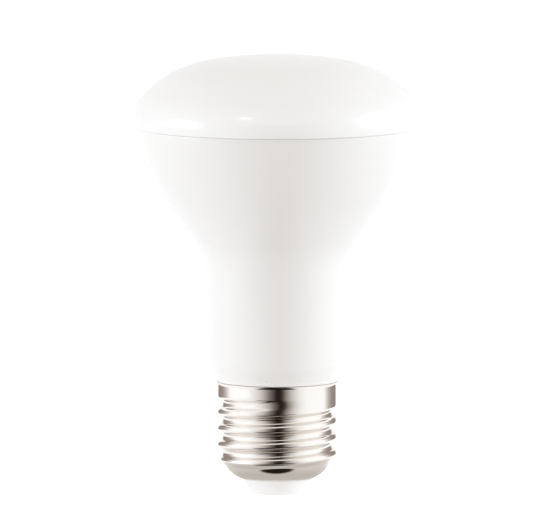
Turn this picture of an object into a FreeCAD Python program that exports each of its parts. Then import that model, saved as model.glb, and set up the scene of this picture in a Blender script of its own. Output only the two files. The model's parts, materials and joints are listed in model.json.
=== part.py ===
import FreeCAD, Part
import math
import os
from FreeCAD import Vector

# Reflector bulb with an opal diffuser, a white moulded housing and an E27 screw cap.
# Millimetres, +Z up, origin on the tip of the centre contact, axis of the bulb on Z.

# Housing
rim_height = 81.2
rim_radius = 30.72
rim_centre_height = 83.17
bowl_radius = 29.77
cone_angle = 35.45
fillet_radius = 11.62
neck_radius = 15.45
neck_taper = 1.8
neck_foot_height = 29.0
housing_wall = 1.5
mouth_wall = 2.3
ledge_width = 1.4
ledge_height = 75.4
shoulder_radius = 13.8
shoulder_height = 26.0
cavity_foot_height = 30.0
cavity_throat_height = 26.0
boss_foot_height = 8.6
boss_wall = 1.5
gate_mark_radius = 0.22
gate_mark_height = 26.45
gate_mark_angle = 260.5
edge_rounding = 0.35

# Diffuser
diffuser_overhang = 0.74
crown_radius = 95.0
dome_radius = 26.15
dome_edge_radius = 7.5
dome_edge_slope = 45.0
dome_edge_centre_rise = 2.0
diffuser_wall = 1.2
spigot_wall = 1.2
snap_bead_radius = 0.35
snap_bead_drop = 2.0

# Screw cap
lip_height = 25.1
lip_flare = 0.35
lip_flare_length = 1.2
crest_radius = 13.15
thread_depth = 1.1
thread_pitch = 3.629
thread_crest_height = 12.9
ridge_start_height = 6.6
ridge_full_height = 8.4
ridge_foot_height = 6.0
ridge_foot_full_height = 7.6
groove_full_height = 20.4
groove_end_height = 21.4
shell_thickness = 0.3
band_foot_height = 21.6
shell_bowl_radius = 6.2
shell_bowl_centre_radius = 6.07
shell_bowl_centre_height = 9.58
shell_hole_radius = 7.7
shell_columns = 24
shell_bowl_rows = 10
shell_rows_a_pitch = 6
shell_lip_rows = 4
insulator_foot_radius = 5.5
insulator_foot_height = 0.3
insulator_foot_rounding = 0.8
insulator_flange_width = 1.2
insulator_top_height = 6.0
contact_head_radius = 3.0
contact_head_thickness = 0.9
contact_head_rounding = 0.4
contact_shank_radius = 1.95
contact_bore_depth = 4.4

# Heat sink and lamp board
sink_plate_thickness = 1.2
sink_wall = 1.2
sink_foot_height = 62.0
sink_hole_radius = 4.0
led_board_radius = 21.5
led_board_thickness = 1.0
led_board_hole_radius = 2.7
led_count = 12
led_ring_radius = 16.5
led_size = 2.8
led_thickness = 0.8
phosphor_radius = 1.05
phosphor_depth = 0.3
screw_count = 3
screw_ring_radius = 11.0
screw_shank_radius = 1.15
screw_length = 2.0
screw_head_radius = 2.2
screw_head_height = 1.3
screw_slot_width = 0.5
screw_slot_depth = 0.6
connector_width = 5.2
connector_length = 5.0
connector_height = 3.6
connector_offset = 3.6

# Driver
board_thickness = 1.0
board_seat_height = 31.0
board_foot_height = 10.0
board_margin = 1.3
component_gap = 0.8
board_tail_width = 18.8
board_width = 26.8
rail_foot_height = 29.5
rail_top_height = 48.0
rail_reach = 1.4
rail_thickness = 4.0
notch_depth = 4.0
smoothing_radius = 4.9
smoothing_length = 11.0
smoothing_pitch = 2.5
film_width = 10.5
film_depth = 4.6
film_length = 8.5
film_pitch = 7.5
choke_radius = 4.0
choke_length = 8.0
choke_post_radius = 1.8
choke_flange_thickness = 1.1
choke_winding_radius = 3.3
choke_pitch = 5.0
component_lead_radius = 0.3
component_lead_reach = 1.4
resistor_radius = 1.5
resistor_length = 6.5
resistor_rise = 9.0
resistor_pitch = 10.0
chip_width = 4.9
chip_depth = 3.9
chip_thickness = 1.5
chip_lead_pitch = 1.27
bridge_width = 4.7
bridge_depth = 4.0
bridge_thickness = 2.3
bridge_lead_pitch = 2.5
lead_foot_width = 0.45
lead_foot_length = 1.0
lead_foot_thickness = 0.2
chip_resistor_count = 6
chip_resistor_width = 2.0
chip_resistor_depth = 1.25
chip_resistor_thickness = 0.5
chip_resistor_margin = 1.6
chip_resistor_step = 2.1

# Wires
wire_radius = 0.6
neutral_wire_radius = 0.4
wire_bend_radius = 1.8
lead_pitch = 2.5
lead_overlap = 3.4
lead_plug_depth = 1.2
neutral_overlap = 5.0
neutral_tail_length = 4.9

# Clearances
lip_clearance = 0.15
band_clearance = 0.1
thread_clearance = 0.1
insulator_clearance = 0.08
contact_clearance = 0.05
spigot_clearance = 0.1
sink_clearance = 0.2
screw_clearance = 0.05
board_clearance = 0.1
lead_clearance = 0.1
wire_clearance = 0.1

# Sizes that follow from the ones above
diffuser_radius = rim_radius + diffuser_overhang
mouth_radius = rim_radius - mouth_wall
ledge_radius = mouth_radius - ledge_width
spigot_radius = mouth_radius - spigot_clearance
sink_plate_top = ledge_height + sink_plate_thickness
led_board_top = sink_plate_top + led_board_thickness
spigot_foot_height = sink_plate_top + spigot_clearance
root_radius = crest_radius - thread_depth
band_seat_radius = crest_radius - shell_thickness - band_clearance
boss_radius = root_radius - shell_thickness - thread_clearance
bore_radius = boss_radius - boss_wall
board_face = board_thickness / 2
wire_line = board_face + wire_radius
lead_plug_height = led_board_top + connector_height / 2
film_height = board_seat_height + board_margin + film_depth / 2
smoothing_height = film_height + film_depth / 2 + component_gap + smoothing_radius
choke_height = smoothing_height + smoothing_radius + component_gap + choke_radius
lead_foot_height = choke_height + choke_radius + component_gap
board_top_height = lead_foot_height + lead_overlap + board_margin
chip_height = (smoothing_height + choke_height) / 2
resistor_height = board_foot_height + resistor_rise
live_wire_top_height = board_foot_height + notch_depth - wire_clearance
neutral_wire_top_height = board_foot_height + neutral_overlap
neutral_tail_height = boss_foot_height + neutral_tail_length

UP = Vector(0, 0, 1)
CENTRE = Vector(0, 0, 0)


def sin(degrees):
    return math.sin(math.radians(degrees))


def cos(degrees):
    return math.cos(math.radians(degrees))


def at(radius, height):
    return Vector(radius, 0, height)


def line(start, end):
    return Part.LineSegment(start, end).toShape()


def arc(centre, radius, start_angle, end_angle):
    """Arc in the XZ plane. Angles are degrees up from +X."""
    angles = (start_angle, (start_angle + end_angle) / 2, end_angle)
    points = [centre + at(radius * cos(angle), radius * sin(angle)) for angle in angles]
    return Part.Arc(*points).toShape()


def turned(edges):
    face = Part.Face(Part.Wire(edges))
    return face.revolve(CENTRE, UP, 360)


def turned_outline(points):
    corners = [at(radius, height) for radius, height in points]
    wire = Part.makePolygon(corners + corners[:1])
    return Part.Face(wire).revolve(CENTRE, UP, 360)


def cylinder(radius, foot, top, x=0.0, y=0.0):
    return Part.makeCylinder(radius, top - foot, Vector(x, y, foot))


def tube(outer, inner, foot, top):
    return cylinder(outer, foot, top).cut(cylinder(inner, foot, top))


def box(x_span, y_span, z_span):
    size = [high - low for low, high in (x_span, y_span, z_span)]
    return Part.makeBox(*size, Vector(x_span[0], y_span[0], z_span[0]))


def centred(middle, width):
    return (middle - width / 2, middle + width / 2)


def round_edges(shape):
    real_edges = [edge for edge in shape.Edges if not edge.Degenerated]
    return [edge for edge in real_edges if isinstance(edge.Curve, Part.Circle)]


def ring_edges(shape, radius, height):
    """The round edges of a shape that have this radius and height."""
    found = []
    for edge in round_edges(shape):
        same_radius = abs(edge.Curve.Radius - radius) < 0.01
        if same_radius and abs(edge.Curve.Center.z - height) < 0.01:
            found.append(edge)
    return found


def around(shape, count, start=0.0):
    copies = []
    for index in range(count):
        copy = shape.copy()
        copy.rotate(CENTRE, UP, start + index * 360 / count)
        copies.append(copy)
    return copies


# Housing

def skin_lines():
    """Centres and ends of the bowl, cone and neck of the housing's outer skin."""
    bowl_centre = at(rim_radius - bowl_radius, rim_centre_height)
    bowl_end = bowl_centre + at(bowl_radius * cos(cone_angle), -bowl_radius * sin(cone_angle))
    cone = at(sin(cone_angle), cos(cone_angle))
    neck = at(sin(neck_taper), cos(neck_taper))
    foot = at(neck_radius, neck_foot_height)
    gap = bowl_end - foot
    turn = cone_angle - neck_taper
    neck_run = (gap.z * sin(cone_angle) - gap.x * cos(cone_angle)) / sin(turn)
    tangent = fillet_radius * math.tan(math.radians(turn / 2))
    fillet_end = foot + neck * (neck_run - tangent)
    fillet_centre = fillet_end + at(fillet_radius * cos(neck_taper), -fillet_radius * sin(neck_taper))
    return bowl_centre, fillet_centre, cone, neck


def skin_solid(inset, foot):
    """Solid inside the housing's outer skin, moved inward by an inset, from a foot up."""
    bowl_centre, fillet_centre, cone, neck = skin_lines()
    bowl = bowl_radius - inset
    fillet = fillet_radius + inset
    rim_angle = -math.degrees(math.asin((rim_centre_height - rim_height) / bowl))
    bowl_edge = arc(bowl_centre, bowl, rim_angle, -cone_angle)
    fillet_edge = arc(fillet_centre, fillet, 180 - cone_angle, 180 - neck_taper)
    rim_point = bowl_edge.Vertexes[0].Point
    bowl_end = bowl_edge.Vertexes[-1].Point
    fillet_start = fillet_edge.Vertexes[0].Point
    fillet_end = fillet_edge.Vertexes[-1].Point
    neck_end = fillet_end - neck * ((fillet_end.z - foot) / neck.z)
    return turned([
        line(at(0, rim_height), rim_point),
        bowl_edge,
        line(bowl_end, fillet_start),
        fillet_edge,
        line(fillet_end, neck_end),
        line(neck_end, at(0, foot)),
        line(at(0, foot), at(0, rim_height)),
    ])


def neck_skin_radius(inset, height):
    rise = height - neck_foot_height
    return neck_radius + rise * sin(neck_taper) / cos(neck_taper) - inset / cos(neck_taper)


def cap_boss():
    """Shoulder over the cap's lip and the boss that goes down inside the screw shell."""
    band_chamfer = band_seat_radius - boss_radius
    lip_seat_radius = crest_radius + lip_flare + band_clearance
    lip_seat_height = lip_height + lip_clearance
    return turned_outline([
        (0, neck_foot_height),
        (neck_radius, neck_foot_height),
        (shoulder_radius, shoulder_height),
        (lip_seat_radius, lip_seat_height),
        (band_seat_radius, lip_seat_height),
        (band_seat_radius, band_foot_height + band_chamfer),
        (boss_radius, band_foot_height),
        (boss_radius, boss_foot_height),
        (0, boss_foot_height),
    ])


def housing_cavity():
    throat = Part.makeCone(
        bore_radius,
        neck_skin_radius(housing_wall, cavity_foot_height),
        cavity_foot_height - cavity_throat_height,
        at(0, cavity_throat_height),
    )
    wall_line = skin_solid(housing_wall, cavity_foot_height)
    below_ledge = wall_line.common(cylinder(ledge_radius, cavity_foot_height, rim_height))
    mouth = cylinder(mouth_radius, ledge_height, rim_height)
    bore = cylinder(bore_radius, boss_foot_height, cavity_throat_height)
    return mouth.fuse([below_ledge, throat, bore])


def board_rail(side):
    """Grooved rail on one side of the neck that takes an edge of the driver board."""
    groove_floor = board_width / 2 + board_clearance
    groove_width = board_thickness + 2 * board_clearance
    wall_middle = neck_skin_radius(housing_wall / 2, rail_foot_height)
    reach = sorted((side * (groove_floor - rail_reach), side * wall_middle))
    groove_span = sorted((0, side * groove_floor))
    rail = box(reach, centred(0, rail_thickness), (rail_foot_height, rail_top_height))
    groove = box(groove_span, centred(0, groove_width), (board_seat_height, rail_top_height))
    return rail.cut(groove)


def neutral_groove():
    """Groove down the outside of the boss for the bare end of the neutral wire."""
    floor = boss_radius - 2 * neutral_wire_radius - wire_clearance
    width = 2 * (neutral_wire_radius + wire_clearance)
    top = neutral_tail_height + wire_clearance
    return box((floor, crest_radius), centred(wire_line, width), (boss_foot_height, top))


def snap_ring(clearance):
    return Part.makeTorus(spigot_radius, snap_bead_radius + clearance, at(0, rim_height - snap_bead_drop))


def gate_mark():
    """Small pit in the shoulder, at an angle from +X, where the moulding's gate broke off."""
    slope = (neck_radius - shoulder_radius) / (neck_foot_height - shoulder_height)
    radius = shoulder_radius + (gate_mark_height - shoulder_height) * slope
    place = Vector(radius * cos(gate_mark_angle), radius * sin(gate_mark_angle), gate_mark_height)
    return Part.makeSphere(gate_mark_radius, place)


def make_housing():
    outside = skin_solid(0, neck_foot_height).fuse(cap_boss())
    body = outside.cut(housing_cavity())
    body = body.fuse([board_rail(1), board_rail(-1)])
    body = body.cut(snap_ring(spigot_clearance))
    body = body.cut(neutral_groove())
    body = body.cut(gate_mark())
    rim = bowl_radius**2 - (rim_centre_height - rim_height) ** 2
    outer_rim = rim_radius - bowl_radius + math.sqrt(rim)
    return body.removeSplitter().makeFillet(edge_rounding, ring_edges(body, outer_rim, rim_height))


# Diffuser

def dome_solid(inset, foot):
    """Three tangent arcs turned about the axis: flat crown, round dome, tight edge."""
    edge_centre = at(diffuser_radius - dome_edge_radius, rim_height + dome_edge_centre_rise)
    rise = dome_radius - dome_edge_radius
    dome_centre = edge_centre - at(rise * sin(dome_edge_slope), rise * cos(dome_edge_slope))
    crown_slope = math.degrees(math.asin(dome_centre.x / (crown_radius - dome_radius)))
    crown_centre = at(0, dome_centre.z - (crown_radius - dome_radius) * cos(crown_slope))
    edge_radius = dome_edge_radius - inset
    foot_angle = -math.degrees(math.asin((edge_centre.z - foot) / edge_radius))
    edge_arc = arc(edge_centre, edge_radius, foot_angle, 90 - dome_edge_slope)
    dome_arc = arc(dome_centre, dome_radius - inset, 90 - dome_edge_slope, 90 - crown_slope)
    crown_arc = arc(crown_centre, crown_radius - inset, 90 - crown_slope, 90)
    foot_point = edge_arc.Vertexes[0].Point
    top_point = crown_arc.Vertexes[-1].Point
    return turned([
        line(at(0, foot), foot_point),
        edge_arc,
        dome_arc,
        crown_arc,
        line(top_point, at(0, foot)),
    ])


def make_diffuser():
    inner_radius = spigot_radius - spigot_wall
    flange_top = rim_height + diffuser_wall
    skirt = dome_edge_radius**2 - dome_edge_centre_rise**2
    skirt_radius = diffuser_radius - dome_edge_radius + math.sqrt(skirt)
    cover = dome_solid(0, rim_height)
    rounded = cover.makeFillet(edge_rounding, ring_edges(cover, skirt_radius, rim_height))
    shell = rounded.cut(dome_solid(diffuser_wall, flange_top))
    shell = shell.cut(cylinder(inner_radius, rim_height, flange_top))
    spigot = tube(spigot_radius, inner_radius, spigot_foot_height, rim_height)
    inside = cylinder(inner_radius, spigot_foot_height, rim_height)
    bead = snap_ring(0).cut(inside)
    return shell.fuse([spigot, bead]).removeSplitter()


# Screw cap

def bowl_height(radius, inset):
    """Height of the shell's rounded foot at a radius, on its outer or inner face."""
    reach = (shell_bowl_radius - inset) ** 2 - (radius - shell_bowl_centre_radius) ** 2
    return shell_bowl_centre_height - math.sqrt(reach)


def smooth_rise(value, start, end):
    """Goes gently from 0 to 1 between two values."""
    share = min(1.0, max(0.0, (value - start) / (end - start)))
    return share * share * (3 - 2 * share)


def rolled_depth(offset, inset):
    """Depth under the crest of the rolled thread. Its crest and root are equal arcs."""
    half_pitch = thread_pitch / 2
    mean_arc = (thread_depth**2 + half_pitch**2) / (4 * thread_depth)
    crest_arc = mean_arc - inset
    root_arc = mean_arc + inset
    away = abs(offset)
    if away < half_pitch * crest_arc / (crest_arc + root_arc):
        return crest_arc - math.sqrt(crest_arc**2 - away**2)
    return thread_depth - root_arc + math.sqrt(root_arc**2 - (half_pitch - away) ** 2)


def thread_rise(turn, height, inset):
    """How far the shell stands out over its root radius, at a share of a turn and a height."""
    climb = (height - thread_crest_height) / thread_pitch - turn
    crest = math.floor(climb + 0.5)
    groove = math.floor(climb) + 0.5
    crest_height = thread_crest_height + thread_pitch * (crest + turn)
    groove_height = thread_crest_height + thread_pitch * (groove + turn)
    ridge = 1 - rolled_depth((climb - crest) * thread_pitch, inset) / thread_depth
    ridge *= smooth_rise(crest_height, ridge_start_height, ridge_full_height)
    ridge *= smooth_rise(height, ridge_foot_height, ridge_foot_full_height)
    filled = smooth_rise(groove_height, groove_full_height, groove_end_height)
    return thread_depth * (1 - (1 - ridge) * (1 - filled))


def shell_rows(inset):
    """Rows of the shell's skin before the thread is rolled, from its hole up to its lip."""
    bowl = shell_bowl_radius - inset
    root = root_radius - inset
    hole_angle = math.acos((shell_hole_radius - shell_bowl_centre_radius) / bowl)
    root_angle = math.acos((root - shell_bowl_centre_radius) / bowl)
    rows = []
    for index in range(shell_bowl_rows + 1):
        angle = hole_angle + (root_angle - hole_angle) * index / shell_bowl_rows
        radius = shell_bowl_centre_radius + bowl * math.cos(angle)
        rows.append((radius, shell_bowl_centre_height - bowl * math.sin(angle)))
    bowl_top = rows[-1][1]
    flare_foot = lip_height - lip_flare_length
    sleeve_rows = math.ceil(shell_rows_a_pitch * (flare_foot - bowl_top) / thread_pitch)
    for index in range(1, sleeve_rows + 1):
        rows.append((root, bowl_top + (flare_foot - bowl_top) * index / sleeve_rows))
    for index in range(1, shell_lip_rows + 1):
        share = index / shell_lip_rows
        rows.append((root + lip_flare * share**2, flare_foot + lip_flare_length * share))
    return rows


def shell_skin(inset):
    """Smooth surface of the threaded shell. Its poles lie a little outside the real curve."""
    rows = shell_rows(inset)
    widening = 3 / (2 + math.cos(2 * math.pi / shell_columns))
    poles = []
    for column in range(shell_columns):
        turn = column / shell_columns
        meridian = [at(radius + thread_rise(turn, height, inset), height) for radius, height in rows]
        column_poles = []
        for index, point in enumerate(meridian):
            if 0 < index < len(meridian) - 1:
                point = point + (point * 2 - meridian[index - 1] - meridian[index + 1]) / 6
            pole = Vector(point.x * cos(360 * turn), point.x * sin(360 * turn), 0)
            column_poles.append(pole * widening + UP * point.z)
        poles.append(column_poles)
    around_marks = list(range(shell_columns + 1))
    along_marks = list(range(len(rows) - 2))
    along_counts = [4] + [1] * (len(along_marks) - 2) + [4]
    surface = Part.BSplineSurface()
    surface.buildFromPolesMultsKnots(
        poles, [1] * (shell_columns + 1), along_counts, around_marks, along_marks, True, False, 3, 3)
    return surface.toShape()


def make_screw_shell():
    """Rolled sheet: an outer and an inner skin, joined round the hole and round the lip."""
    skins = [shell_skin(0), shell_skin(shell_thickness)]
    rings = []
    for skin in skins:
        closed_edges = [edge for edge in skin.Edges if edge.isClosed()]
        rings.append(sorted(closed_edges, key=lambda edge: edge.BoundBox.ZMin))
    hole_wall = Part.makeRuledSurface(rings[0][0], rings[1][0])
    lip_face = Part.makeRuledSurface(rings[0][-1], rings[1][-1])
    sheet = Part.makeShell(skins + [hole_wall, lip_face])
    sheet.sewShape()
    return Part.Solid(sheet)


def make_insulator():
    plug_radius = shell_hole_radius - insulator_clearance
    flange_radius = shell_hole_radius + insulator_flange_width
    head_recess_radius = contact_head_radius + contact_clearance
    shank_hole_radius = contact_shank_radius + contact_clearance
    seat_height = bowl_height(shell_hole_radius, shell_thickness) + insulator_clearance
    flange_height = bowl_height(flange_radius, shell_thickness) + insulator_clearance
    skirt_height = bowl_height(shell_hole_radius, 0)
    body = turned_outline([
        (shank_hole_radius, contact_head_thickness),
        (head_recess_radius, contact_head_thickness),
        (head_recess_radius, insulator_foot_height),
        (insulator_foot_radius, insulator_foot_height),
        (plug_radius, skirt_height),
        (plug_radius, seat_height),
        (flange_radius, flange_height),
        (flange_radius, insulator_top_height),
        (shank_hole_radius, insulator_top_height),
    ])
    foot = ring_edges(body, insulator_foot_radius, insulator_foot_height)
    return body.makeFillet(insulator_foot_rounding, foot)


def make_contact_pin():
    pin_top = insulator_top_height + contact_clearance
    bore_radius_here = wire_radius + wire_clearance
    head = cylinder(contact_head_radius, 0, contact_head_thickness)
    head = head.makeFillet(contact_head_rounding, ring_edges(head, contact_head_radius, 0))
    shank = cylinder(contact_shank_radius, contact_head_thickness, pin_top)
    bore = cylinder(bore_radius_here, pin_top - contact_bore_depth, pin_top)
    return head.fuse(shank).cut(bore).removeSplitter()


# Heat sink and lamp board

def screw_places(radius, foot, top):
    return around(cylinder(radius, foot, top, 0, -screw_ring_radius), screw_count)


def make_heat_sink():
    wall_inset = housing_wall + sink_clearance
    side_radius = ledge_radius - sink_clearance
    plate = cylinder(mouth_radius - spigot_clearance, ledge_height, sink_plate_top)
    outer = skin_solid(wall_inset, sink_foot_height)
    outer = outer.common(cylinder(side_radius, sink_foot_height, ledge_height))
    inner = skin_solid(wall_inset + sink_wall, sink_foot_height)
    inner = inner.common(cylinder(side_radius - sink_wall, sink_foot_height, ledge_height))
    sink = plate.fuse(outer.cut(inner)).removeSplitter()
    sink = sink.cut(cylinder(sink_hole_radius, ledge_height, sink_plate_top))
    hole_foot = led_board_top - screw_length
    holes = screw_places(screw_shank_radius + screw_clearance, hole_foot, sink_plate_top)
    return sink.cut(holes)


def make_led_board():
    board = cylinder(led_board_radius, sink_plate_top, led_board_top)
    board = board.cut(cylinder(led_board_hole_radius, sink_plate_top, led_board_top))
    return board.cut(screw_places(screw_shank_radius + screw_clearance, sink_plate_top, led_board_top))


def phosphor_disc():
    top = led_board_top + led_thickness
    return cylinder(phosphor_radius, top - phosphor_depth, top, led_ring_radius)


def make_led_packages():
    package = box(
        centred(led_ring_radius, led_size),
        centred(0, led_size),
        (led_board_top, led_board_top + led_thickness),
    )
    return Part.makeCompound(around(package.cut(phosphor_disc()), led_count))


def make_led_phosphors():
    return Part.makeCompound(around(phosphor_disc(), led_count))


def make_board_screws():
    head_top = led_board_top + screw_head_height
    head = cylinder(screw_head_radius, led_board_top, head_top, 0, -screw_ring_radius)
    rim = [edge for edge in head.Edges if edge.BoundBox.ZMin > head_top - screw_clearance]
    head = head.makeFillet(screw_slot_depth / 2, rim)
    slot = box(
        centred(0, 2 * screw_head_radius),
        centred(-screw_ring_radius, screw_slot_width),
        (head_top - screw_slot_depth, head_top),
    )
    shank_foot = led_board_top - screw_length
    shank = cylinder(screw_shank_radius, shank_foot, led_board_top, 0, -screw_ring_radius)
    return Part.makeCompound(around(head.cut(slot).fuse(shank).removeSplitter(), screw_count))


def make_board_connector():
    body = box(
        centred(0, connector_width),
        (connector_offset, connector_offset + connector_length),
        (led_board_top, led_board_top + connector_height),
    )
    for side in (-1, 1):
        start = Vector(side * lead_pitch / 2, connector_offset, lead_plug_height)
        hole = Part.makeCylinder(wire_radius + wire_clearance, lead_plug_depth, start, Vector(0, 1, 0))
        body = body.cut(hole)
    return body


# Driver

def lead_holes(pitch, height):
    """Two holes through the driver board for the leads of one component."""
    radius = component_lead_radius + lead_clearance
    holes = []
    for side in (-1, 1):
        start = Vector(side * pitch / 2, -board_face, height)
        holes.append(Part.makeCylinder(radius, board_thickness, start, Vector(0, 1, 0)))
    return holes


def component_leads(pitch, height):
    """Two straight leads from a component's foot through the driver board."""
    length = board_thickness + component_lead_reach
    leads = []
    for side in (-1, 1):
        start = Vector(side * pitch / 2, board_face - length, height)
        leads.append(Part.makeCylinder(component_lead_radius, length, start, Vector(0, 1, 0)))
    return leads


def standing(radius, foot, length, height):
    """Cylinder that stands out from the front face of the driver board."""
    return Part.makeCylinder(radius, length, Vector(0, board_face + foot, height), Vector(0, 1, 0))


def make_driver_board():
    thickness = (-board_face, board_face)
    wide = box(centred(0, board_width), thickness, (board_seat_height, board_top_height))
    tail = box(centred(0, board_tail_width), thickness, (board_foot_height, board_seat_height))
    board = wide.fuse(tail).removeSplitter()
    notch_width = 2 * (wire_radius + wire_clearance)
    notch_top = board_foot_height + notch_depth
    board = board.cut(box(centred(0, notch_width), thickness, (board_foot_height, notch_top)))
    holes = lead_holes(smoothing_pitch, smoothing_height)
    holes += lead_holes(film_pitch, film_height)
    holes += lead_holes(choke_pitch, choke_height)
    holes += lead_holes(resistor_pitch, resistor_height)
    return board.cut(holes)


def make_smoothing_capacitor():
    can = standing(smoothing_radius, 0, smoothing_length, smoothing_height)
    top = board_face + smoothing_length
    top_edges = [edge for edge in can.Edges if edge.BoundBox.YMin > top - edge_rounding]
    can = can.makeFillet(edge_rounding, top_edges)
    crimp_line = Vector(0, board_face + smoothing_length / 8, smoothing_height)
    crimp = Part.makeTorus(smoothing_radius, edge_rounding, crimp_line, Vector(0, 1, 0))
    return can.cut(crimp).fuse(component_leads(smoothing_pitch, smoothing_height))


def make_film_capacitor():
    body = box(
        centred(0, film_width),
        (board_face, board_face + film_length),
        centred(film_height, film_depth),
    )
    body = body.makeFillet(2 * edge_rounding, body.Edges)
    return body.fuse(component_leads(film_pitch, film_height))


def make_choke_core():
    post = standing(choke_post_radius, 0, choke_length, choke_height)
    foot = standing(choke_radius, 0, choke_flange_thickness, choke_height)
    head_place = choke_length - choke_flange_thickness
    head = standing(choke_radius, head_place, choke_flange_thickness, choke_height)
    return post.fuse([foot, head]).removeSplitter().fuse(component_leads(choke_pitch, choke_height))


def make_choke_winding():
    room = choke_length - 2 * choke_flange_thickness
    outside = standing(choke_winding_radius, choke_flange_thickness, room, choke_height)
    return outside.cut(standing(choke_post_radius, choke_flange_thickness, room, choke_height))


def make_fusible_resistor():
    """Barrel resistor that lies across the board with its leads bent down into it."""
    axis_line = board_face + resistor_radius
    half_body = resistor_length / 2
    half_pitch = resistor_pitch / 2
    body = Part.makeCylinder(
        resistor_radius, resistor_length, Vector(-half_body, axis_line, resistor_height), Vector(1, 0, 0))
    body = body.makeFillet(resistor_radius / 3, round_edges(body))
    for side in (-1, 1):
        body = body.fuse(bent_lead(side * half_body, side * half_pitch, axis_line))
    return body


def bent_lead(start_x, end_x, axis_line):
    """Lead that runs out along X and then turns down through the driver board."""
    bend = component_lead_radius * 2
    outward = math.copysign(1, end_x)
    corner_centre = Vector(end_x - outward * bend, axis_line - bend, resistor_height)
    run_end = corner_centre + Vector(0, bend, 0)
    bend_middle = corner_centre + Vector(outward * bend * sin(45), bend * cos(45), 0)
    drop_start = corner_centre + Vector(outward * bend, 0, 0)
    drop_end = Vector(end_x, -board_face - component_lead_reach, resistor_height)
    path = Part.Wire([
        line(Vector(start_x, axis_line, resistor_height), run_end),
        Part.Arc(run_end, bend_middle, drop_start).toShape(),
        line(drop_start, drop_end),
    ])
    return swept(path, component_lead_radius)


def swept(path, radius):
    start = path.Edges[0].Vertexes[0].Point
    direction = path.Edges[0].tangentAt(path.Edges[0].FirstParameter)
    circle = Part.Wire(Part.makeCircle(radius, start, direction))
    return path.makePipeShell([circle], True, False)


def chip_package(width, depth, thickness, height, leads_a_side, lead_pitch_here):
    """Moulded package on the back of the driver board with flat feet along two sides."""
    back = -board_face
    lift = lead_foot_thickness
    body = box(centred(0, width), (back - thickness, back - lift), centred(height, depth))
    parts = []
    for index in range(leads_a_side):
        middle = (index - (leads_a_side - 1) / 2) * lead_pitch_here
        for side in (-1, 1):
            edge_line = height + side * depth / 2
            reach = sorted((edge_line - side * lead_foot_length, edge_line + side * lead_foot_length))
            parts.append(box(centred(middle, lead_foot_width), (back - lift, back), reach))
    return body.fuse(parts).removeSplitter()


def make_driver_chip():
    return chip_package(chip_width, chip_depth, chip_thickness, chip_height, 4, chip_lead_pitch)


def make_bridge_rectifier():
    return chip_package(bridge_width, bridge_depth, bridge_thickness, film_height, 2, bridge_lead_pitch)


def make_chip_resistors():
    resistors = []
    for index in range(chip_resistor_count):
        column = (index % 2 - 0.5) * 2 * chip_resistor_width
        height = board_top_height - chip_resistor_margin - (index // 2) * chip_resistor_step
        resistors.append(box(
            centred(column, chip_resistor_width),
            (-board_face - chip_resistor_thickness, -board_face),
            centred(height, chip_resistor_depth),
        ))
    return Part.makeCompound(resistors)


# Wires

def make_live_wire():
    """Straight wire from the bore of the contact pin to the notch of the driver board."""
    bore_foot = insulator_top_height + contact_clearance - contact_bore_depth
    return cylinder(wire_radius, bore_foot + wire_clearance, live_wire_top_height)


def make_neutral_wire():
    """Wire from the driver board, round the foot of the boss and up its groove."""
    outer_x = boss_radius - neutral_wire_radius
    inner_x = bore_radius - wire_clearance - neutral_wire_radius
    turn_radius = (outer_x - inner_x) / 2
    turn_centre = Vector(inner_x + turn_radius, wire_line, boss_foot_height - wire_clearance)
    start = Vector(inner_x, wire_line, neutral_wire_top_height)
    turn_start = turn_centre - Vector(turn_radius, 0, 0)
    turn_end = turn_centre + Vector(turn_radius, 0, 0)
    end = Vector(outer_x, wire_line, neutral_tail_height)
    path = Part.Wire([
        line(start, turn_start),
        Part.Arc(turn_start, turn_centre - Vector(0, 0, turn_radius), turn_end).toShape(),
        line(turn_end, end),
    ])
    return swept(path, neutral_wire_radius)


def make_led_lead(side):
    """Wire from the top of the driver board, through the sink, bent into the connector."""
    x = side * lead_pitch / 2
    start = Vector(x, wire_line, lead_foot_height)
    bend_start = Vector(x, wire_line, lead_plug_height - wire_bend_radius)
    bend_centre = bend_start + Vector(0, wire_bend_radius, 0)
    bend_middle = bend_centre + Vector(0, -wire_bend_radius * cos(45), wire_bend_radius * sin(45))
    bend_end = bend_centre + Vector(0, 0, wire_bend_radius)
    end = Vector(x, connector_offset + lead_plug_depth - wire_clearance, lead_plug_height)
    path = Part.Wire([
        line(start, bend_start),
        Part.Arc(bend_start, bend_middle, bend_end).toShape(),
        line(bend_end, end),
    ])
    return swept(path, wire_radius)


def main():
    pieces = {
        "diffuser": make_diffuser(),
        "housing": make_housing(),
        "screw_shell": make_screw_shell(),
        "insulator": make_insulator(),
        "contact_pin": make_contact_pin(),
        "heat_sink": make_heat_sink(),
        "led_board": make_led_board(),
        "led_packages": make_led_packages(),
        "led_phosphors": make_led_phosphors(),
        "board_screws": make_board_screws(),
        "board_connector": make_board_connector(),
        "driver_board": make_driver_board(),
        "smoothing_capacitor": make_smoothing_capacitor(),
        "film_capacitor": make_film_capacitor(),
        "choke_core": make_choke_core(),
        "choke_winding": make_choke_winding(),
        "fusible_resistor": make_fusible_resistor(),
        "driver_chip": make_driver_chip(),
        "bridge_rectifier": make_bridge_rectifier(),
        "chip_resistors": make_chip_resistors(),
        "live_wire": make_live_wire(),
        "neutral_wire": make_neutral_wire(),
        "led_lead_positive": make_led_lead(1),
        "led_lead_negative": make_led_lead(-1),
    }
    os.makedirs("parts", exist_ok=True)
    for name, shape in pieces.items():
        print(name, len(shape.Solids), shape.isValid(), round(shape.Volume, 1))
        shape.exportStep("parts/" + name + ".step")


main()
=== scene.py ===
import json
import math

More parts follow.
